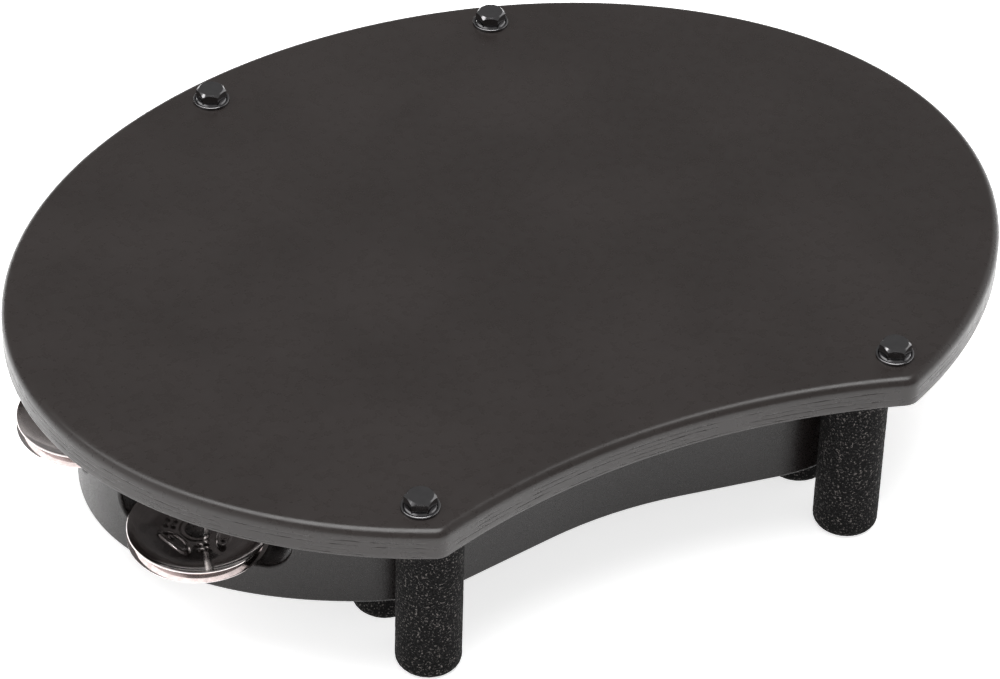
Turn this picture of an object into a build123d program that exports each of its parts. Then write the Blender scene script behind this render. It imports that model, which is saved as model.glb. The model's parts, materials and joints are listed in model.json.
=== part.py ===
"""Table-top tambourine: a crescent jingle ring gripped by foam-sleeved legs under a playing board.

Millimetres. X runs to the right, Y to the rear and Z up. The object stands on Z = 0, it is
symmetric about X = 0, and the board's hollow front edge faces -Y. The origin is on the floor,
under the middle of the board.
"""
from build123d import *
import os
from math import hypot

os.makedirs("parts", exist_ok=True)

# ---- playing board: an ellipse with a round bite out of its front ----
board_centre_y = -10.12        # centre of the board's ellipse
board_half_width = 190.0
board_half_depth = 152.0
board_corner_angle = 60.5      # ellipse angle, below the X axis, where the bite begins
board_bite_middle = 116.3      # from the ellipse's centre forward to the middle of the bite
board_thickness = 11.5
board_top = 81.0
board_corner_radius = 7.0
board_top_roundover = 3.5
board_bottom_break = 0.4

# ---- jingle ring ----
frame_centre_y = board_centre_y - 4.1
frame_half_width = 169.25
frame_half_depth = 105.6
frame_corner_angle = 61.3      # ellipse angle, below the X axis, of the horns before rounding
frame_bottom = 17.2
frame_top = 64.9
jingle_wall = 14.0             # wall that carries the jingles
grip_wall = 10.0               # wall along the bite
grip_middle = 79.25            # from the ring's centre forward to where the grip's flanks meet
grip_radius = 164.0            # rounds the grip's middle
horn_radius = 60.0
horn_inner_radius = 46.0
frame_edge_radius = 1.2
channel_wall = 3.0             # wall left each side of the moulding's hollow
channel_depth = 11.0
channel_front = -58.0          # the hollows stop here, short of the horns
boss_radius = 4.6

# ---- jingle slots and pins ----
slot_length = 66.5
slot_height = 18.5
slot_floor = frame_bottom + 14.5
slot_lip_radius = 1.1
jingle_stations = (0.0, 87.5, 175.0, 257.2)     # along the pin line, from the rear middle
pin_radius = 1.3
pin_head_radius = 2.6
pin_head_height = 1.2
pin_seat = 10.0                # how far the pin goes on above the slot

# ---- jingles: shallow steel dishes, back to back in pairs ----
jingle_radius = 25.4
jingle_flat_radius = 16.0
jingle_rise = 2.0
jingle_sheet = 0.65
jingle_hole_radius = 4.9       # loose on the pin
jingle_rests = ((0.6, 2.6), (0.8, -1.2), (0.6, 3.5), (-3.5, -0.7))   # off the pin, along and out
jingle_rest_gap = 0.3          # under the lower rim
jingle_pair_gap = 0.1          # between the two flat middles

# ---- legs: steel rods in foam sleeves, two rods on a plate ----
sleeve_radius = 11.95
sleeve_foot = 8.0              # foam under the rod's end
sleeve_foot_radius = 3.0
sleeve_top_radius = 0.6
rod_radius = 6.0
plate_thickness = 4.0
plate_border = 12.5
plate_bolt_border = 8.0
front_outer_leg = (85.8, board_centre_y - 107.45)
front_inner_leg = (85.9, board_centre_y - 72.9)
rear_leg_station = 43.75       # along the pin line, half way between two jingles
sleeve_clearance = 0.4         # between a sleeve and the ring
leg_relief_radius = sleeve_radius + sleeve_clearance

# ---- fasteners ----
front_bolt = (94.5, board_centre_y - 116.5)
rear_bolt = (60.0, board_centre_y + 130.0)
bolt_radius = 3.0
bolt_clearance = 0.2
hex_across_flats = 10.0
hex_height = 4.0
hex_top_radius = 4.6
hex_top_chamfer = 0.9
hex_turn = 31.4                # degrees, a flat faces the front-left
flange_radius = 6.1
flange_height = 0.9
washer_radius = 6.9
washer_height = 1.1
washer_recess = 0.45
washer_rim = 0.7
rod_screw_head_radius = 5.7
rod_screw_depth = 16.0
board_screw_radius = 2.0
board_screw_head_radius = 3.9
board_screw_length = 11.0
board_screw_offset = 6.4       # either side of the line between a plate's two legs

# ---- heights that follow ----
board_bottom = board_top - board_thickness
plate_bottom = board_bottom - plate_thickness
slot_middle = slot_floor + slot_height / 2
pin_top = slot_floor + slot_height + pin_seat
seat = board_top + washer_height - washer_recess
jingle_height = jingle_rise + jingle_sheet
pair_middle = slot_floor + jingle_rest_gap + jingle_height + jingle_pair_gap / 2

# ---- places that repeat left and right ----
sides = (("left", -1), ("right", 1))


def crescent(centre_y, half_width, half_depth, corner_angle, bite_middle, arched=True):
    """An ellipse whose front is hollowed by an arc or a shallow V, as a flat face for a sketch."""
    with BuildSketch() as outline:
        with BuildLine():
            round_side = EllipticalCenterArc(
                (0, centre_y),
                half_width,
                half_depth,
                start_angle=-corner_angle,
                arc_size=180 + 2 * corner_angle,
            )
            if arched:
                ThreePointArc(round_side @ 1, (0, centre_y - bite_middle), round_side @ 0)
            else:
                Polyline(round_side @ 1, (0, centre_y - bite_middle), round_side @ 0)
        make_face()
    return outline.sketch_local


with BuildLine() as pin_line:
    EllipticalCenterArc(
        (0, frame_centre_y),
        frame_half_width - jingle_wall / 2,
        frame_half_depth - jingle_wall / 2,
        start_angle=90,
        arc_size=140,
    )


def station_plane(distance, side, height):
    """Upright plane on the pin line: its x runs along the wall and its normal points outward."""
    edge = pin_line.edges()[0]
    point = edge.position_at(distance, position_mode=PositionMode.LENGTH)
    along = edge.tangent_at(distance, position_mode=PositionMode.LENGTH)
    x_sign = -side
    return Plane(
        origin=(x_sign * point.X, point.Y, height),
        x_dir=(x_sign * along.X, along.Y, 0),
        z_dir=(x_sign * along.Y, -along.X, 0),
    )


def rear_legs(side):
    """Outer and inner leg of a rear plate, one each side of the jingle wall."""
    wall = station_plane(rear_leg_station, side, 0)
    reach = jingle_wall / 2 + sleeve_clearance + sleeve_radius
    outer = wall.origin + wall.z_dir * reach
    inner = wall.origin - wall.z_dir * reach
    return (outer.X, outer.Y), (inner.X, inner.Y)


def save(piece, name):
    """Label a finished piece and write its STEP file."""
    piece.part.label = name
    export_step(piece.part, f"parts/{name}.step")


def on_lip(edge, plane):
    """Whether an edge runs round the mouth of the slot that is cut along this plane's normal."""
    offset = edge.center() - plane.origin
    return (
        abs(offset.dot(plane.x_dir)) < slot_length / 2 + 1
        and abs(offset.Z) < slot_height / 2 + 1
        and abs(offset.dot(plane.z_dir)) < 2 * jingle_wall
        and abs(edge.tangent_at(0.5).dot(plane.z_dir)) < 0.9
    )


stations = {}
for side_name, side in sides:
    stations[f"front_{side_name}"] = {
        "bolt": (side * front_bolt[0], front_bolt[1]),
        "outer": (side * front_outer_leg[0], front_outer_leg[1]),
        "inner": (side * front_inner_leg[0], front_inner_leg[1]),
    }
    outer_leg, inner_leg = rear_legs(side)
    stations[f"rear_{side_name}"] = {
        "bolt": (side * rear_bolt[0], rear_bolt[1]),
        "outer": outer_leg,
        "inner": inner_leg,
    }

bolt_places = [place["bolt"] for place in stations.values()]
leg_places = [place[leg] for place in stations.values() for leg in ("outer", "inner")]
jingle_spots = [
    (distance, side) for distance in jingle_stations for _, side in sides if distance > 0 or side > 0
]
pin_planes = [station_plane(distance, side, slot_middle) for distance, side in jingle_spots]
pin_places = [(plane.origin.X, plane.origin.Y) for plane in pin_planes]


def board_screw_places(place):
    """Two screws on the line square to the line between a plate's legs, over the ring's wall."""
    (outer_x, outer_y), (inner_x, inner_y) = place["outer"], place["inner"]
    span = hypot(outer_x - inner_x, outer_y - inner_y)
    across_x = (outer_y - inner_y) / span * board_screw_offset
    across_y = (inner_x - outer_x) / span * board_screw_offset
    middle_x = (outer_x + inner_x) / 2
    middle_y = (outer_y + inner_y) / 2
    return [(middle_x + sign * across_x, middle_y + sign * across_y) for sign in (-1, 1)]


screw_places = [spot for place in stations.values() for spot in board_screw_places(place)]

# ---- playing board ----
with BuildPart() as top_board:
    with BuildSketch(Plane.XY.offset(board_bottom)):
        add(
            crescent(
                board_centre_y,
                board_half_width,
                board_half_depth,
                board_corner_angle,
                board_bite_middle,
            )
        )
    extrude(amount=board_thickness)
    fillet(top_board.edges().filter_by(Axis.Z).group_by(Axis.Y)[0], board_corner_radius)
    fillet(top_board.faces().sort_by(Axis.Z)[0].edges(), board_bottom_break)
    fillet(top_board.faces().sort_by(Axis.Z)[-1].edges(), board_top_roundover)
    with BuildSketch(Plane.XY.offset(board_bottom)):
        with Locations(*bolt_places):
            Circle(bolt_radius + bolt_clearance)
    extrude(amount=board_thickness, mode=Mode.SUBTRACT)
    with BuildSketch(Plane.XY.offset(board_bottom)):
        with Locations(*screw_places):
            Circle(board_screw_radius)
    extrude(amount=board_screw_length - plate_thickness, mode=Mode.SUBTRACT)
save(top_board, "top_board")

# ---- leg plates, each tapped for one bolt ----
for plate_name, place in stations.items():
    with BuildPart() as leg_plate:
        with BuildSketch(Plane.XY.offset(plate_bottom)):
            with Locations(place["outer"], place["inner"]):
                Circle(plate_border)
            with Locations(place["bolt"]):
                Circle(plate_bolt_border)
            make_hull()
            with Locations(place["outer"], place["inner"], place["bolt"]):
                Circle(bolt_radius, mode=Mode.SUBTRACT)
            with Locations(*board_screw_places(place)):
                Circle(board_screw_radius, mode=Mode.SUBTRACT)
        extrude(amount=plate_thickness)
        with BuildSketch(Plane.XY.offset(board_bottom)):
            with Locations(place["outer"], place["inner"]):
                Circle(rod_screw_head_radius)
        extrude(amount=-(rod_screw_head_radius - bolt_radius), taper=45, mode=Mode.SUBTRACT)
        with BuildSketch(Plane.XY.offset(plate_bottom)):
            with Locations(*board_screw_places(place)):
                Circle(board_screw_head_radius)
        extrude(amount=board_screw_head_radius - board_screw_radius, taper=45, mode=Mode.SUBTRACT)
    save(leg_plate, f"leg_plate_{plate_name}")

# ---- legs ----
for plate_name, place in stations.items():
    for leg in ("outer", "inner"):
        with BuildPart() as leg_rod:
            with BuildSketch(Plane.XY.offset(sleeve_foot)):
                with Locations(place[leg]):
                    Circle(rod_radius)
            extrude(amount=plate_bottom - sleeve_foot)
            with BuildSketch(Plane.XY.offset(plate_bottom)):
                with Locations(place[leg]):
                    Circle(bolt_radius)
            extrude(amount=-rod_screw_depth, mode=Mode.SUBTRACT)
        save(leg_rod, f"leg_rod_{plate_name}_{leg}")

        with BuildPart() as foam_sleeve:
            with BuildSketch(Plane.XY):
                with Locations(place[leg]):
                    Circle(sleeve_radius)
            extrude(amount=plate_bottom)
            fillet(foam_sleeve.faces().sort_by(Axis.Z)[0].edges(), sleeve_foot_radius)
            fillet(foam_sleeve.faces().sort_by(Axis.Z)[-1].edges(), sleeve_top_radius)
            with BuildSketch(Plane.XY.offset(sleeve_foot)):
                with Locations(place[leg]):
                    Circle(rod_radius)
            extrude(amount=plate_bottom - sleeve_foot, mode=Mode.SUBTRACT)
        save(foam_sleeve, f"foam_sleeve_{plate_name}_{leg}")

# ---- countersunk screws that hold the rods to the plates ----
with BuildPart() as rod_screws:
    with BuildSketch(Plane.XY.offset(board_bottom)):
        with Locations(*leg_places):
            Circle(rod_screw_head_radius)
    extrude(amount=-(rod_screw_head_radius - bolt_radius), taper=45)
    with BuildSketch(Plane.XY.offset(plate_bottom - rod_screw_depth)):
        with Locations(*leg_places):
            Circle(bolt_radius)
    extrude(amount=rod_screw_depth + plate_thickness)
save(rod_screws, "rod_screws")

# ---- wood screws that keep the plates from turning ----
with BuildPart() as board_screws:
    with BuildSketch(Plane.XY.offset(plate_bottom)):
        with Locations(*screw_places):
            Circle(board_screw_head_radius)
    extrude(amount=board_screw_head_radius - board_screw_radius, taper=45)
    with BuildSketch(Plane.XY.offset(plate_bottom)):
        with Locations(*screw_places):
            Circle(board_screw_radius)
    extrude(amount=board_screw_length)
save(board_screws, "board_screws")

# ---- dished washers with a raised rim, under the bolt heads ----
with BuildPart() as dished_washers:
    with BuildSketch(Plane.XY.offset(board_top)):
        with Locations(*bolt_places):
            Circle(washer_radius)
            Circle(bolt_radius + bolt_clearance, mode=Mode.SUBTRACT)
    extrude(amount=washer_height)
    rim_edges = dished_washers.faces().sort_by(Axis.Z)[-len(bolt_places):].edges()
    fillet(rim_edges.filter_by(lambda edge: edge.radius > flange_radius), washer_rim * 0.45)
    with BuildSketch(Plane.XY.offset(board_top + washer_height)):
        with Locations(*bolt_places):
            Circle(washer_radius - washer_rim)
    extrude(amount=-washer_recess, mode=Mode.SUBTRACT)
save(dished_washers, "dished_washers")

# ---- hexagon flange bolts through board and plate ----
with BuildPart() as flange_bolts:
    with BuildSketch(Plane.XY.offset(seat)):
        with Locations(*bolt_places):
            Circle(flange_radius)
    extrude(amount=flange_height, taper=35)
    with BuildSketch(Plane.XY.offset(seat)):
        with Locations(*bolt_places):
            RegularPolygon(hex_across_flats / 2, 6, major_radius=False, rotation=hex_turn)
    extrude(amount=flange_height + hex_height)
    for spot in bolt_places:
        with BuildSketch(Plane.XZ.offset(-spot[1])):
            with BuildLine():
                Polyline(
                    (spot[0] + hex_top_radius, seat + flange_height + hex_height),
                    (spot[0] + hex_across_flats, seat + flange_height + hex_height),
                    (
                        spot[0] + hex_across_flats,
                        seat + flange_height + hex_height
                        - (hex_across_flats - hex_top_radius) * hex_top_chamfer,
                    ),
                    close=True,
                )
            make_face()
        revolve(axis=Axis((spot[0], spot[1], 0), (0, 0, 1)), mode=Mode.SUBTRACT)
    with BuildSketch(Plane.XY.offset(plate_bottom)):
        with Locations(*bolt_places):
            Circle(bolt_radius)
    extrude(amount=seat - plate_bottom)
save(flange_bolts, "flange_bolts")

# ---- moulded crescent ring ----
with BuildPart() as ring_inside:
    with BuildSketch(Plane.XY.offset(frame_bottom)):
        add(
            crescent(
                frame_centre_y,
                frame_half_width - jingle_wall,
                frame_half_depth - jingle_wall,
                frame_corner_angle,
                grip_middle - grip_wall,
                arched=False,
            )
        )
    extrude(amount=frame_top - frame_bottom)
    fillet(
        ring_inside.edges().filter_by(Axis.Z).group_by(Axis.Y)[-1], grip_radius + grip_wall
    )
    fillet(ring_inside.edges().filter_by(Axis.Z).group_by(Axis.Y)[0], horn_inner_radius)

with BuildPart() as tambourine_frame:
    with BuildSketch(Plane.XY.offset(frame_bottom)):
        add(
            crescent(
                frame_centre_y,
                frame_half_width,
                frame_half_depth,
                frame_corner_angle,
                grip_middle,
                arched=False,
            )
        )
    extrude(amount=frame_top - frame_bottom)
    fillet(tambourine_frame.edges().filter_by(Axis.Z).group_by(Axis.Y)[-1], grip_radius)
    fillet(tambourine_frame.edges().filter_by(Axis.Z).group_by(Axis.Y)[0], horn_radius)
    add(ring_inside.part, mode=Mode.SUBTRACT)
    # round pockets in the horns, where the inner front legs stand
    with BuildSketch(Plane.XY.offset(frame_bottom)):
        with Locations(*[(side * front_inner_leg[0], front_inner_leg[1]) for _, side in sides]):
            Circle(leg_relief_radius)
    extrude(amount=frame_top - frame_bottom, mode=Mode.SUBTRACT)
    fillet(tambourine_frame.faces().sort_by(Axis.Z)[0].edges(), frame_edge_radius)
    fillet(tambourine_frame.faces().sort_by(Axis.Z)[-1].edges(), frame_edge_radius)
    # the right half alone from here on, until it is mirrored
    split(bisect_by=Plane.YZ, keep=Keep.TOP)
    # slots through the jingle wall, with a rounded lip inside and out
    for distance in jingle_stations:
        plane = station_plane(distance, 1, slot_middle)
        with BuildSketch(plane):
            SlotOverall(slot_length, slot_height)
        extrude(amount=2 * jingle_wall, both=True, mode=Mode.SUBTRACT)
        fillet(tambourine_frame.edges().filter_by(lambda edge: on_lip(edge, plane)), slot_lip_radius)
    # hollows of the moulding, from below and from above, with a boss round each pin
    for height, depth in ((frame_bottom, channel_depth), (frame_top, -channel_depth)):
        with BuildSketch(Plane.XY.offset(height)):
            with Locations((0, frame_centre_y)):
                Ellipse(frame_half_width - channel_wall, frame_half_depth - channel_wall)
                Ellipse(
                    frame_half_width - jingle_wall + channel_wall,
                    frame_half_depth - jingle_wall + channel_wall,
                    mode=Mode.SUBTRACT,
                )
            with Locations((0, board_centre_y + channel_front)):
                Rectangle(
                    2 * board_half_width,
                    board_half_depth,
                    align=(Align.CENTER, Align.MAX),
                    mode=Mode.SUBTRACT,
                )
            with Locations(*pin_places):
                Circle(boss_radius, mode=Mode.SUBTRACT)
        extrude(amount=depth, mode=Mode.SUBTRACT)
    # pin holes, counterbored for the heads
    with BuildSketch(Plane.XY.offset(frame_bottom)):
        with Locations(*pin_places):
            Circle(pin_radius)
    extrude(amount=pin_top - frame_bottom, mode=Mode.SUBTRACT)
    with BuildSketch(Plane.XY.offset(frame_bottom)):
        with Locations(*pin_places):
            Circle(pin_head_radius)
    extrude(amount=pin_head_height, mode=Mode.SUBTRACT)
    mirror(about=Plane.YZ)
save(tambourine_frame, "tambourine_frame")

# ---- jingle pins ----
with BuildPart() as jingle_pins:
    with BuildSketch(Plane.XY.offset(frame_bottom)):
        with Locations(*pin_places):
            Circle(pin_head_radius)
    extrude(amount=pin_head_height)
    with BuildSketch(Plane.XY.offset(frame_bottom)):
        with Locations(*pin_places):
            Circle(pin_radius)
    extrude(amount=pin_top - frame_bottom)
save(jingle_pins, "jingle_pins")

# ---- jingles ----
rise_radius = ((jingle_radius - jingle_flat_radius) ** 2 + jingle_rise**2) / (2 * jingle_rise)
rim_sine = (jingle_radius - jingle_flat_radius) / rise_radius
rim_cosine = 1 - jingle_rise / rise_radius


def jingle_number(distance, side):
    """Jingles are numbered from the left horn round the rear to the right horn."""
    return len(jingle_stations) + side * jingle_stations.index(distance)


for distance, side in jingle_spots:
    wall = station_plane(distance, side, pair_middle)
    along, outward = jingle_rests[jingle_stations.index(distance)]
    rest = wall.origin + wall.x_dir * along + wall.z_dir * outward
    for layer, up in (("upper", 1), ("lower", -1)):
        profile = Plane(origin=(rest.X, rest.Y, pair_middle), x_dir=(1, 0, 0), z_dir=(0, -1, 0))
        flat = up * jingle_pair_gap / 2
        with BuildPart() as jingle:
            with BuildSketch(profile):
                with BuildLine():
                    outer_flat = Line((jingle_hole_radius, flat), (jingle_flat_radius, flat))
                    outer_rise = TangentArc(
                        (jingle_flat_radius, flat),
                        (jingle_radius, flat + up * jingle_rise),
                        tangent=(1, 0),
                    )
                    inner_rise = TangentArc(
                        (jingle_flat_radius, flat + up * jingle_sheet),
                        (
                            jingle_radius - jingle_sheet * rim_sine,
                            flat + up * (jingle_rise + jingle_sheet * rim_cosine),
                        ),
                        tangent=(1, 0),
                    )
                    inner_flat = Line(
                        (jingle_hole_radius, flat + up * jingle_sheet),
                        (jingle_flat_radius, flat + up * jingle_sheet),
                    )
                    Line(outer_rise @ 1, inner_rise @ 1)
                    Line(outer_flat @ 0, inner_flat @ 0)
                make_face()
            revolve(axis=Axis((rest.X, rest.Y, 0), (0, 0, 1)))
        save(jingle, f"jingle_{jingle_number(distance, side)}_{layer}")
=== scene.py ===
"""Table-top tambourine: the looks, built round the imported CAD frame. Metres, floor at Z = 0."""

import json
import math

import bpy
import numpy as np
from mathutils import Matrix, Vector


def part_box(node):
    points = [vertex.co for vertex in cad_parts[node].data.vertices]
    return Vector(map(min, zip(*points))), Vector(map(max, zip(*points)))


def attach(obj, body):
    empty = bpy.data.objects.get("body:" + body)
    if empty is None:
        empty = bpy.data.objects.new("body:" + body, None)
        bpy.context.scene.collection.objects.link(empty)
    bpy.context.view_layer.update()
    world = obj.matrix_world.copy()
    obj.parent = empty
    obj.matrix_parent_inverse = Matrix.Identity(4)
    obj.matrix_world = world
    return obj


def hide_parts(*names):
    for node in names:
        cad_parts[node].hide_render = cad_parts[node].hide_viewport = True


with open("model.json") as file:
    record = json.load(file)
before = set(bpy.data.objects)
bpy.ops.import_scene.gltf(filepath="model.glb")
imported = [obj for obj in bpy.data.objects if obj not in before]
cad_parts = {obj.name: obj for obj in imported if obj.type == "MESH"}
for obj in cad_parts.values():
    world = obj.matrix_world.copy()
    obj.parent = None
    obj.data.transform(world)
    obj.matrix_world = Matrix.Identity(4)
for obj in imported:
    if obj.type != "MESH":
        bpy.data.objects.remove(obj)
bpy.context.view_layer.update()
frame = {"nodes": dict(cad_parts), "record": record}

MM = 0.001

# ---- driving dimensions, as in the CAD ----
board_low, board_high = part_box("top_board")
board_half_width = board_high.x
board_half_depth = 152.0 * MM
board_centre_y = board_high.y - board_half_depth
board_top = board_high.z
board_bottom = board_low.z
board_corner_angle = math.radians(60.5)
board_bite_middle = 116.3 * MM
board_corner_radius = 7.0 * MM
board_top_roundover = 3.5 * MM
board_bottom_break = 0.4 * MM
board_fill_inset = 6.0 * MM

jingle_radius = 25.4 * MM
jingle_flat_radius = 16.0 * MM
jingle_rise = 2.0 * MM
jingle_sheet = 0.65 * MM
jingle_hole_radius = 4.9 * MM
hub_ring_radius = 6.0 * MM
loop_distance = 10.2 * MM      # from the jingle's middle to the middle of each stamped loop
loop_half_length = 6.4 * MM
loop_half_width = 2.3 * MM
loop_bow = 0.9 * MM

sleeve_foot_radius = 3.0 * MM
sleeve_top_radius = 0.6 * MM
sleeve_pit_depth = 0.13 * MM


# ---- node materials ----
class Finish:
    """A node material, with short calls that add and join its nodes."""

    def __init__(self, name, roughness, metallic=0.0, specular=0.5):
        self.material = bpy.data.materials.new(name)
        self.material.use_nodes = True
        self.tree = self.material.node_tree
        self.shader = self.tree.nodes["Principled BSDF"]
        self.shader.inputs["Roughness"].default_value = roughness
        self.shader.inputs["Metallic"].default_value = metallic
        self.shader.inputs["Specular IOR Level"].default_value = specular
        self.place = self.node("ShaderNodeTexCoord").outputs["Object"]
        self.bumps = None

    def node(self, kind, **inputs):
        made = self.tree.nodes.new(kind)
        for name, value in inputs.items():
            self.put(made.inputs[name.replace("_", " ")], value)
        return made

    def put(self, socket, value):
        if isinstance(value, bpy.types.NodeSocket):
            self.tree.links.new(value, socket)
        else:
            socket.default_value = value

    def noise(self, grain, detail=2.0, rough=0.5, place=None):
        """Noise with features about one grain wide, in metres."""
        made = self.node(
            "ShaderNodeTexNoise",
            Vector=place or self.place,
            Scale=1 / grain,
            Detail=detail,
            Roughness=rough,
        )
        return made.outputs["Fac"]

    def cells(self, grain, place=None):
        """Distance to scattered points about one grain apart."""
        made = self.node("ShaderNodeTexVoronoi", Vector=place or self.place, Scale=1 / grain)
        return made.outputs["Distance"]

    def math(self, operation, first, second=0.0, third=0.0):
        made = self.tree.nodes.new("ShaderNodeMath")
        made.operation = operation
        self.put(made.inputs[0], first)
        self.put(made.inputs[1], second)
        self.put(made.inputs[2], third)
        return made.outputs[0]

    def ramp(self, value, low, high, to_low=0.0, to_high=1.0, smooth=True):
        made = self.tree.nodes.new("ShaderNodeMapRange")
        made.interpolation_type = "SMOOTHSTEP" if smooth else "LINEAR"
        for index, amount in enumerate((value, low, high, to_low, to_high)):
            self.put(made.inputs[index], amount)
        return made.outputs[0]

    def stretched(self, x, y, z):
        """The object's coordinates, scaled by axis."""
        made = self.node("ShaderNodeMapping", Vector=self.place)
        made.inputs["Scale"].default_value = (x, y, z)
        return made.outputs["Vector"]

    def axis(self, name):
        return self.node("ShaderNodeSeparateXYZ", Vector=self.place).outputs[name]

    def mix(self, amount, first, second):
        made = self.tree.nodes.new("ShaderNodeMix")
        made.data_type = "RGBA"
        self.put(made.inputs["Factor"], amount)
        for socket, value in ((made.inputs[6], first), (made.inputs[7], second)):
            self.put(socket, value if isinstance(value, bpy.types.NodeSocket) else (*value, 1))
        return made.outputs[2]

    def color(self, value):
        self.put(self.shader.inputs["Base Color"], value)

    def roughness(self, value):
        self.put(self.shader.inputs["Roughness"], value)

    def bump(self, height, depth, strength=1.0):
        """Adds relief: depth is how far a height of 1 stands out, in metres."""
        made = self.node("ShaderNodeBump", Height=height, Distance=depth, Strength=strength)
        if self.bumps:
            self.tree.links.new(self.bumps, made.inputs["Normal"])
        self.bumps = made.outputs["Normal"]
        self.tree.links.new(self.bumps, self.shader.inputs["Normal"])


def black_board():
    """Satin black paint on plywood, with the edge's plies just showing through."""
    finish = Finish("black_board", 0.3, specular=0.42)
    cloud = finish.noise(60 * MM, 3)
    speck = finish.noise(0.45 * MM, 2, 0.6)
    grain = finish.noise(1.0 * MM, 3, 0.6, finish.stretched(0.10, 1.0, 1.0))
    tone = finish.mix(finish.ramp(cloud, 0.3, 0.7), (0.0215, 0.0177, 0.0166), (0.0262, 0.0218, 0.0206))
    light = finish.ramp(speck, 0.66, 0.86)
    tone = finish.mix(finish.math("MULTIPLY", light, 0.22), tone, (0.075, 0.067, 0.063))
    finish.color(tone)
    finish.roughness(finish.ramp(finish.noise(4 * MM, 3), 0.3, 0.7, 0.26, 0.33))
    finish.bump(speck, 0.035 * MM, 0.5)
    finish.bump(grain, 0.05 * MM, 0.3)
    height = finish.axis("Z")
    edge = finish.ramp(height, board_top - 4.2 * MM, board_top - 3.2 * MM, 1, 0)
    ply = finish.math("SINE", finish.math("MULTIPLY", height, 2 * math.pi / (1.9 * MM)))
    torn = finish.noise(5 * MM, 3, 0.6, finish.stretched(0.25, 0.25, 2.2))
    line = finish.math("MULTIPLY", finish.ramp(ply, 0.55, 1.0), finish.ramp(torn, 0.45, 0.62))
    finish.bump(finish.math("MULTIPLY", line, finish.math("MULTIPLY", edge, -1)), 0.4 * MM, 0.9)
    return finish.material


def moulded_plastic():
    """Black ABS, finely textured all over."""
    finish = Finish("frame_plastic", 0.3, specular=0.34)
    speck = finish.noise(0.5 * MM, 2, 0.7)
    cloud = finish.noise(30 * MM, 2)
    finish.color(finish.mix(cloud, (0.0075, 0.0055, 0.0052), (0.0115, 0.0092, 0.0088)))
    finish.roughness(finish.ramp(speck, 0.35, 0.65, 0.24, 0.36))
    finish.bump(speck, 0.10 * MM, 0.9)
    return finish.material


def foam_rubber():
    """Closed-cell foam with a granular black skin."""
    finish = Finish("foam_rubber", 0.75, specular=0.15)
    cell = finish.cells(0.75 * MM)
    grain_and_sparkle = finish.noise(0.8 * MM, 3, 0.7)
    # Light flecks in the colour are painted sparkle, standing for glints off the grainy skin; the same
    # noise gives the skin's real grain in the roughness and bump.
    finish.color(
        finish.mix(finish.ramp(grain_and_sparkle, 0.58, 0.66), (0.0020, 0.0017, 0.0017), (0.150, 0.135, 0.128))
    )
    finish.roughness(finish.ramp(grain_and_sparkle, 0.4, 0.7, 0.9, 0.6))
    finish.bump(cell, -0.22 * MM, 0.9)
    finish.bump(grain_and_sparkle, 0.12 * MM, 0.8)
    return finish.material


def plated(name, color, roughness, scratch=0.02):
    """Plated or bright metal, with fine wear in its gloss."""
    finish = Finish(name, roughness, metallic=1.0)
    wear = finish.noise(3 * MM, 4, 0.6)
    fine = finish.noise(0.4 * MM, 2, 0.6, finish.stretched(1.0, 0.15, 1.0))
    darker = tuple(0.86 * part for part in color)
    finish.color(finish.mix(finish.ramp(wear, 0.35, 0.7), color, darker))
    finish.roughness(finish.ramp(wear, 0.3, 0.75, roughness * 0.8, roughness * 1.35))
    finish.bump(fine, scratch * MM, 0.3)
    return finish.material


def powder_coat():
    finish = Finish("plate_steel", 0.5)
    peel = finish.noise(1.2 * MM, 2)
    finish.color(finish.mix(peel, (0.018, 0.018, 0.018), (0.028, 0.028, 0.028)))
    finish.bump(peel, 0.06 * MM, 0.5)
    return finish.material


materials = {
    "black_board": black_board(),
    "frame_plastic": moulded_plastic(),
    "foam_rubber": foam_rubber(),
    "jingle_steel": plated("jingle_steel", (0.82, 0.755, 0.745), 0.085),
    "pin_steel": plated("pin_steel", (0.72, 0.71, 0.70), 0.2),
    "black_chrome": plated("black_chrome", (0.24, 0.235, 0.24), 0.13, 0.01),
    "zinc_screw": plated("zinc_screw", (0.55, 0.55, 0.53), 0.3),
    "plate_steel": powder_coat(),
    "rod_steel": plated("rod_steel", (0.50, 0.50, 0.50), 0.3),
}
slot_of = {entry["node"]: entry["material_slot"] for entry in frame["record"]["subparts"]}
body_of = {
    node: body for body, nodes in frame["record"]["behaviour"]["bodies"].items() for node in nodes
}


# ---- mesh helpers ----
def new_piece(name, vertices, faces, material, smooth=40):
    """A mesh piece in the row frame, shaded smooth up to the given angle in degrees."""
    mesh = bpy.data.meshes.new(name)
    mesh.from_pydata([tuple(vertex) for vertex in vertices], [], faces)
    mesh.validate()
    mesh.update()
    piece = bpy.data.objects.new(name, mesh)
    bpy.context.scene.collection.objects.link(piece)
    mesh.materials.append(material)
    mesh.shade_smooth()
    mesh.set_sharp_from_angle(angle=math.radians(smooth))
    return piece


def stand_for(piece, node):
    """The piece takes a CAD node's place and body: it joins the node's body and the node is hidden."""
    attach(piece, body_of[node])
    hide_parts(node)
    return piece


def ring_faces(rings, count, first=0, closed=False):
    """Quads between rings of count points each; closed joins the last ring to the first."""
    faces = []
    for ring in range(rings if closed else rings - 1):
        low = first + ring * count
        high = first + (ring + 1) % rings * count
        for step in range(count):
            ahead = (step + 1) % count
            faces.append((low + step, low + ahead, high + ahead, high + step))
    return faces


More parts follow.
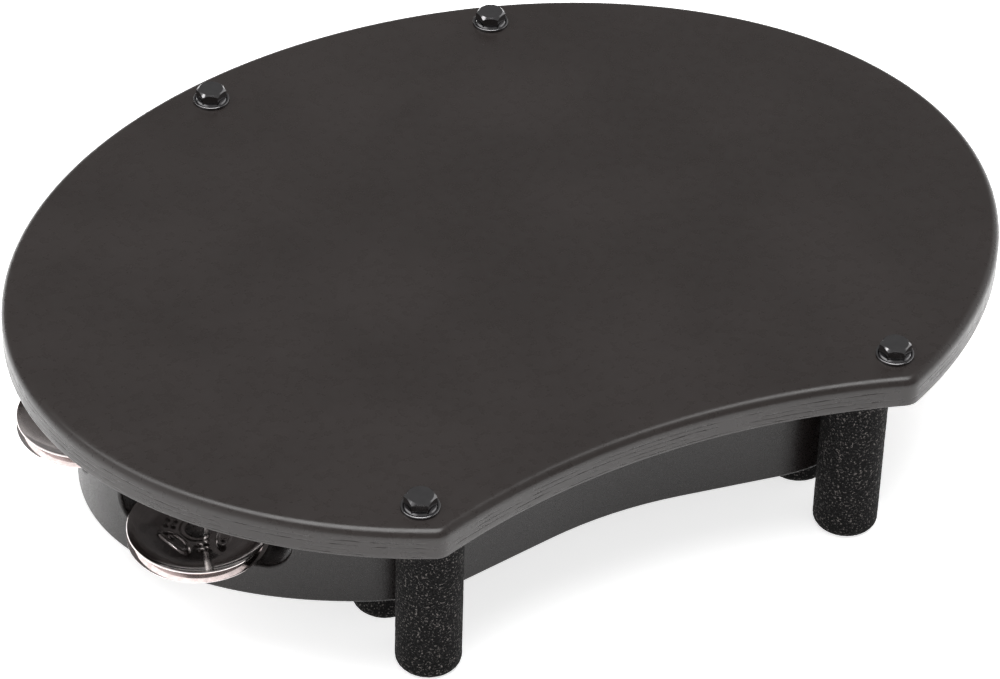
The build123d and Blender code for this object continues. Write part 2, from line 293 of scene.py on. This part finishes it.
# ---- playing board ----
def board_outline(count):
    """Points and outward normals round the board's edge, evenly spaced, counter-clockwise."""
    width, depth = board_half_width, board_half_depth
    end_x = width * math.cos(board_corner_angle)
    sagitta = depth * math.sin(board_corner_angle) - board_bite_middle
    bite_radius = (end_x**2 + sagitta**2) / (2 * sagitta)
    bite_centre = np.array([0, -board_bite_middle - bite_radius])

    def on_ellipse(angle):
        point = np.array([width * math.cos(angle), depth * math.sin(angle)])
        normal = np.array([depth * math.cos(angle), width * math.sin(angle)])
        return point, normal / np.linalg.norm(normal)

    def corner_centre(angle):
        point, normal = on_ellipse(angle)
        return point - normal * board_corner_radius

    low, high = -board_corner_angle, 0.0
    for _ in range(60):
        middle = (low + high) / 2
        gap = np.linalg.norm(corner_centre(middle) - bite_centre) - bite_radius
        low, high = (middle, high) if gap < board_corner_radius else (low, middle)
    centre = corner_centre(low)
    touch = bite_centre + (centre - bite_centre) / np.linalg.norm(centre - bite_centre) * bite_radius
    side = [on_ellipse(angle)[0] for angle in np.linspace(low, math.pi - low, 2400)]
    start = math.atan2(*(touch - centre)[::-1])
    stop = math.atan2(*(side[0] - centre)[::-1])
    corner = [
        centre + board_corner_radius * np.array([math.cos(angle), math.sin(angle)])
        for angle in np.linspace(start, stop, 90)
    ]
    half = math.atan2(touch[0], touch[1] - bite_centre[1])
    bite = [
        bite_centre + bite_radius * np.array([math.sin(angle), math.cos(angle)])
        for angle in np.linspace(-half, half, 1200)
    ]
    mirrored = [point * [-1, 1] for point in reversed(corner)]
    path = np.array(side + mirrored[1:] + bite[1:] + corner[1:-1])
    path[:, 1] += board_centre_y
    closed = np.vstack([path, path[:1]])
    length = np.concatenate([[0], np.cumsum(np.linalg.norm(np.diff(closed, axis=0), axis=1))])
    spots = np.linspace(0, length[-1], count, endpoint=False)
    even = np.stack([np.interp(spots, length, closed[:, axis]) for axis in (0, 1)], 1)
    along = np.roll(even, -1, 0) - np.roll(even, 1, 0)
    along /= np.linalg.norm(along, axis=1)[:, None]
    return even, np.stack([along[:, 1], -along[:, 0]], 1)


def make_board():
    """The board as one closed skin: broken lower edge, upright side, rounded upper edge."""
    count = 900
    points, normals = board_outline(count)
    profile = [(board_fill_inset, board_bottom), (board_bottom_break, board_bottom)]
    for angle in np.radians([30, 60, 90]):
        profile.append(
            (
                board_bottom_break * (1 - math.sin(angle)),
                board_bottom + board_bottom_break * (1 - math.cos(angle)),
            )
        )
    wall_top = board_top - board_top_roundover
    profile += [(0, z) for z in np.linspace(board_bottom + 2 * MM, wall_top, 4)]
    for angle in np.radians(np.arange(7.5, 91, 7.5)):
        profile.append(
            (
                board_top_roundover * (1 - math.cos(angle)),
                wall_top + board_top_roundover * math.sin(angle),
            )
        )
    profile.append((board_fill_inset, board_top))
    vertices = []
    for inset, height in profile:
        ring = points - normals * inset
        vertices += [(x, y, height) for x, y in ring]
    faces = ring_faces(len(profile), count)
    faces.append(tuple(range(count - 1, -1, -1)))
    last = (len(profile) - 1) * count
    faces.append(tuple(range(last, last + count)))
    board = new_piece("playing_board", vertices, faces, materials["black_board"], 50)
    return stand_for(board, "top_board")


# ---- foam sleeves ----
def make_sleeve(node):
    """A foam sleeve with a slightly uneven skin, closed round its foot."""
    low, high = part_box(node)
    centre = (low + high) / 2
    radius = (high.x - low.x) / 2
    around = 96
    profile = [(radius * share, low.z) for share in (0.25, 0.55, 0.8)]
    for angle in np.radians(np.linspace(0, 90, 7)):
        profile.append(
            (
                radius - sleeve_foot_radius * (1 - math.sin(angle)),
                low.z + sleeve_foot_radius * (1 - math.cos(angle)),
            )
        )
    profile += [
        (radius, z)
        for z in np.linspace(low.z + sleeve_foot_radius, high.z - sleeve_top_radius, 70)[1:]
    ]
    profile.append((radius - sleeve_top_radius, high.z))
    profile.append((radius * 0.55, high.z))
    seed = sum(ord(letter) for letter in node)
    random = np.random.default_rng(seed)
    vertices = []
    for row, (reach, height) in enumerate(profile):
        on_skin = reach > radius * 0.9 and height < high.z - MM
        for step in range(around):
            angle = 2 * math.pi * step / around
            dent = random.uniform(0, sleeve_pit_depth) if on_skin else 0
            vertices.append(
                (
                    centre.x + (reach - dent) * math.cos(angle),
                    centre.y + (reach - dent) * math.sin(angle),
                    height,
                )
            )
    faces = ring_faces(len(profile), around)
    faces.append(tuple(range(around - 1, -1, -1)))
    last = (len(profile) - 1) * around
    faces.append(tuple(range(last, last + around)))
    sleeve = new_piece(node + "_skin", vertices, faces, materials["foam_rubber"], 60)
    stand_for(sleeve, node)
    return sleeve


# ---- jingles ----
def stamped_relief(x, y, turn):
    """Height of the generic stamped pattern at a point on a jingle, from its middle, in metres.

    A low hub ring, three oval loops with a dot in each, and a cluster of four dots between them.
    """

    def ridge(distance, height, half_width):
        return height * math.exp(-((distance / half_width) ** 2))

    reach = math.hypot(x, y)
    height = ridge(reach - hub_ring_radius, 0.12 * MM, 0.6 * MM)
    for petal in range(3):
        angle = turn + petal * 2 * math.pi / 3
        along = x * math.cos(angle) + y * math.sin(angle)
        across = -x * math.sin(angle) + y * math.cos(angle)
        u = across / loop_half_length
        v = (along - loop_distance - loop_bow * u * u) / loop_half_width
        loop = abs(math.hypot(u, v) - 1) * 2.8 * MM
        height += ridge(loop, 0.55 * MM, 0.6 * MM)
        dot = math.hypot(across + 3.2 * MM, along - 10.4 * MM)
        height += ridge(dot, 0.6 * MM, 1.0 * MM)
        angle += math.pi / 3
        for side in (-1, 1):
            for level in (8.6 * MM, 11.4 * MM):
                dot_x = level * math.cos(angle) - side * 1.5 * MM * math.sin(angle)
                dot_y = level * math.sin(angle) + side * 1.5 * MM * math.cos(angle)
                dot = math.hypot(x - dot_x, y - dot_y)
                height += ridge(dot, 0.45 * MM, 0.8 * MM)
    return height


def make_jingle(node):
    """A pressed steel dish with stamped ridges, as thick as its sheet."""
    low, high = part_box(node)
    centre = (low + high) / 2
    upward = node.endswith("upper")
    number = int(node.split("_")[1])
    turn = 0.23 + 1.1 * number + (0 if upward else 2.0)
    around = 192
    rise_radius = ((jingle_radius - jingle_flat_radius) ** 2 + jingle_rise**2) / (2 * jingle_rise)
    flat = list(np.linspace(jingle_hole_radius, jingle_flat_radius, 40))
    limit = math.asin((jingle_radius - jingle_flat_radius) / rise_radius)
    outer = [(reach, 0.0) for reach in flat]
    inner = [(reach, jingle_sheet) for reach in flat]
    for angle in np.linspace(0, limit, 14)[1:]:
        for rows, radius in ((outer, rise_radius), (inner, rise_radius - jingle_sheet)):
            rows.append(
                (
                    jingle_flat_radius + radius * math.sin(angle),
                    rise_radius - radius * math.cos(angle),
                )
            )
    edge = [
        (
            (outer[-1][0] + inner[-1][0]) / 2 + 0.12 * MM * math.cos(limit),
            (outer[-1][1] + inner[-1][1]) / 2 + 0.12 * MM * math.sin(limit),
        )
    ]
    profile = outer + edge + inner[::-1]
    base = low.z if upward else high.z
    sign = 1 if upward else -1
    vertices = []
    for reach, lift in profile:
        for step in range(around):
            angle = 2 * math.pi * step / around
            x, y = reach * math.cos(angle), reach * math.sin(angle)
            fade = min(1.0, max(0.0, (jingle_flat_radius + MM - reach) / (2 * MM)))
            relief = stamped_relief(x, y, turn) * fade if reach < jingle_flat_radius + MM else 0.0
            vertices.append((centre.x + x, centre.y + y, base + sign * (lift + relief)))
    faces = ring_faces(len(profile), around, closed=True)
    if upward:
        faces = [face[::-1] for face in faces]
    jingle = new_piece(node + "_dish", vertices, faces, materials["jingle_steel"], 50)
    return stand_for(jingle, node)


# ---- CAD nodes that stay, with a better finish and smooth shading up to 30 degrees ----
def finish_cad_node(node):
    part = frame["nodes"][node]
    part.data.materials.clear()
    part.data.materials.append(materials[slot_of[node]])
    part.data.shade_smooth()
    part.data.set_sharp_from_angle(angle=math.radians(30))


make_board()
for node in frame["nodes"]:
    if node.startswith("foam_sleeve"):
        make_sleeve(node)
    elif node.startswith("jingle_") and node != "jingle_pins":
        make_jingle(node)
    elif node != "top_board":
        finish_cad_node(node)


# ---- studio ----
floor_reach = 6.0
floor_glow = 0.72              # a floor lit from below keeps the shadows faint
room_strength = 0.22
ceiling_strength = 6.4
ceiling_edge = (0.90, 0.94)    # height of the direction, 1 overhead, over which the ceiling starts
left_wall = (-0.55, -0.9, 0.9)   # where it starts and is full, to the left, and its strength
right_wall = (0.6, 0.9, 0.7)
key_place = (-1.2, 0.6, 1.9)
key_size = 1.0
key_power = 10
object_middle = (0, 0, 0.05)
camera_offset = Vector((-0.60868, -1.11617, 0.97568))   # from the middle of the board's top
aim_offset = Vector((-0.0281, -0.0475, 0))
camera_roll = 0.02904          # radians
camera_lens = 157.44           # mm, on a 36 mm sensor


def make_floor():
    """A wide plain floor, nearly white."""
    finish = Finish("floor", 0.6, specular=0.2)
    finish.color(finish.mix(finish.noise(0.5, 2), (0.93, 0.93, 0.93), (0.95, 0.95, 0.95)))
    finish.shader.inputs["Emission Color"].default_value = (1, 1, 1, 1)
    finish.shader.inputs["Emission Strength"].default_value = floor_glow
    corners = [(-1, -1), (1, -1), (1, 1), (-1, 1)]
    vertices = [(floor_reach * x, floor_reach * y, 0) for x, y in corners]
    floor = new_piece("floor", vertices, [(0, 1, 2, 3)], finish.material)


def make_light(name, place, target, size, power):
    """A square softbox that faces its target."""
    lamp = bpy.data.lights.new(name, "AREA")
    lamp.size = size
    lamp.energy = power
    light = bpy.data.objects.new(name, lamp)
    bpy.context.scene.collection.objects.link(light)
    light.location = place
    light.rotation_euler = (Vector(target) - Vector(place)).to_track_quat("-Z", "Y").to_euler()


def make_world():
    """A dim room under a broad bright ceiling, with paler walls to the left and right."""
    world = bpy.data.worlds.new("studio")
    bpy.context.scene.world = world
    world.use_nodes = True
    tree = world.node_tree
    split = tree.nodes.new("ShaderNodeSeparateXYZ")
    tree.links.new(tree.nodes.new("ShaderNodeTexCoord").outputs["Generated"], split.inputs[0])

    def ramp(value, low, high, to_low, to_high):
        made = tree.nodes.new("ShaderNodeMapRange")
        made.interpolation_type = "SMOOTHSTEP"
        tree.links.new(value, made.inputs["Value"])
        for index, amount in enumerate((low, high, to_low, to_high)):
            made.inputs[index + 1].default_value = amount
        return made.outputs[0]

    def add(first, second):
        made = tree.nodes.new("ShaderNodeMath")
        tree.links.new(first, made.inputs[0])
        tree.links.new(second, made.inputs[1])
        return made.outputs[0]

    ceiling = ramp(split.outputs["Z"], *ceiling_edge, room_strength, ceiling_strength)
    walls = []
    for start, full, strength in (left_wall, right_wall):
        walls.append(ramp(split.outputs["X"], start, full, 0.0, strength))
    background = tree.nodes["Background"]
    tree.links.new(add(ceiling, add(*walls)), background.inputs["Strength"])
    background.inputs["Color"].default_value = (1, 1, 1, 1)


def make_camera():
    """A long lens from the front left, tipped a little, as the object is seen."""
    camera = bpy.data.objects.new("camera", bpy.data.cameras.new("camera"))
    bpy.context.scene.collection.objects.link(camera)
    focus = Vector((0, board_centre_y, board_top))
    place = focus + camera_offset
    aim = focus + aim_offset
    look = (aim - place).to_track_quat("-Z", "Y").to_matrix().to_4x4()
    camera.matrix_world = Matrix.Translation(place) @ look @ Matrix.Rotation(camera_roll, 4, "Z")
    camera.data.sensor_width = 36
    camera.data.lens = camera_lens
    camera.data.clip_end = 50
    bpy.context.scene.camera = camera


bpy.context.scene.view_settings.view_transform = "Standard"
make_floor()
make_world()
make_light("key", key_place, object_middle, key_size, key_power)
make_camera()
